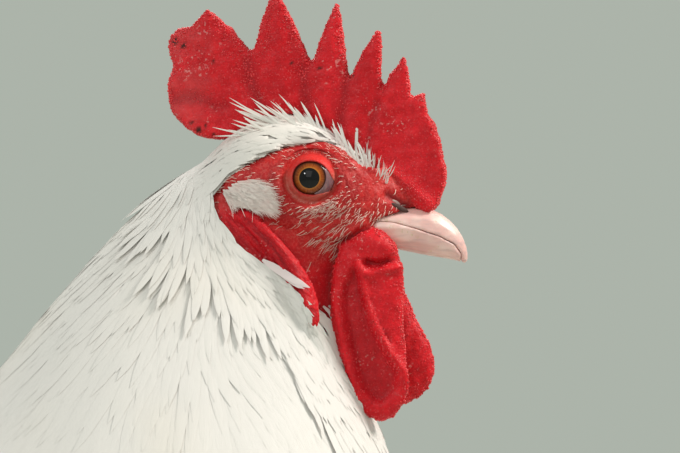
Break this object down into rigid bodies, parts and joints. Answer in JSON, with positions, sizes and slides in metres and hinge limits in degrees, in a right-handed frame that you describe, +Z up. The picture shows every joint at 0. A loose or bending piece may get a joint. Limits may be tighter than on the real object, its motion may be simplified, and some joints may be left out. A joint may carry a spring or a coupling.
{
  "type": "rooster",
  "caption": "Life-size white rooster standing still, with a serrated red comb, bare red face, hanging wattles, hackle cape, folded wings and arched tail.",
  "frame": {"origin": "middle of the standing bird's bounding box, on the floor under its feet", "axes": "+X from tail to beak, +Y to the bird's left, +Z up"},
  "size_m": [0.57, 0.2016, 0.5529],
  "materials": {
    "white_feather": "silky white feathers, faintly cream",
    "red_flesh": "moist, granular deep red comb, lobes and wattles",
    "face_skin": "bare wrinkled red skin with pale bristles",
    "beak_horn": "satin pinkish-white horn",
    "eye": "wet amber iris round a black pupil",
    "leg_skin": "pinkish-white scaled skin",
    "claw_horn": "satin pale horn"
  },
  "bodies": {
    "root": {"beak_lower": "beak_horn", "beak_upper": "beak_horn", "claw_hind_L": "claw_horn", "claw_hind_R": "claw_horn", "claw_inner_L": "claw_horn", "claw_inner_R": "claw_horn", "claw_middle_L": "claw_horn", "claw_middle_R": "claw_horn", "claw_outer_L": "claw_horn", "claw_outer_R": "claw_horn", "comb": "red_flesh", "crown": "white_feather", "earlobe_L": "red_flesh", "earlobe_R": "red_flesh", "eye_L": "eye", "eye_R": "eye", "foot_L": "leg_skin", "foot_R": "leg_skin", "head": "face_skin", "neck": "white_feather", "shank_L": "leg_skin", "shank_R": "leg_skin", "sickle_L_1": "white_feather", "sickle_L_2": "white_feather", "sickle_L_3": "white_feather", "sickle_L_4": "white_feather", "sickle_R_1": "white_feather", "sickle_R_2": "white_feather", "sickle_R_3": "white_feather", "sickle_R_4": "white_feather", "spur_L": "claw_horn", "spur_R": "claw_horn", "tail_coverts": "white_feather", "tail_fan_L": "white_feather", "tail_fan_R": "white_feather", "thigh_L": "white_feather", "thigh_R": "white_feather", "toe_hind_L": "leg_skin", "toe_hind_R": "leg_skin", "toe_inner_L": "leg_skin", "toe_inner_R": "leg_skin", "toe_middle_L": "leg_skin", "toe_middle_R": "leg_skin", "toe_outer_L": "leg_skin", "toe_outer_R": "leg_skin", "trunk": "white_feather", "wattle_L": "red_flesh", "wattle_R": "red_flesh", "wing_coverts_L": "white_feather", "wing_coverts_R": "white_feather", "wing_flights_L": "white_feather", "wing_flights_R": "white_feather"}
  },
  "joints": []
}
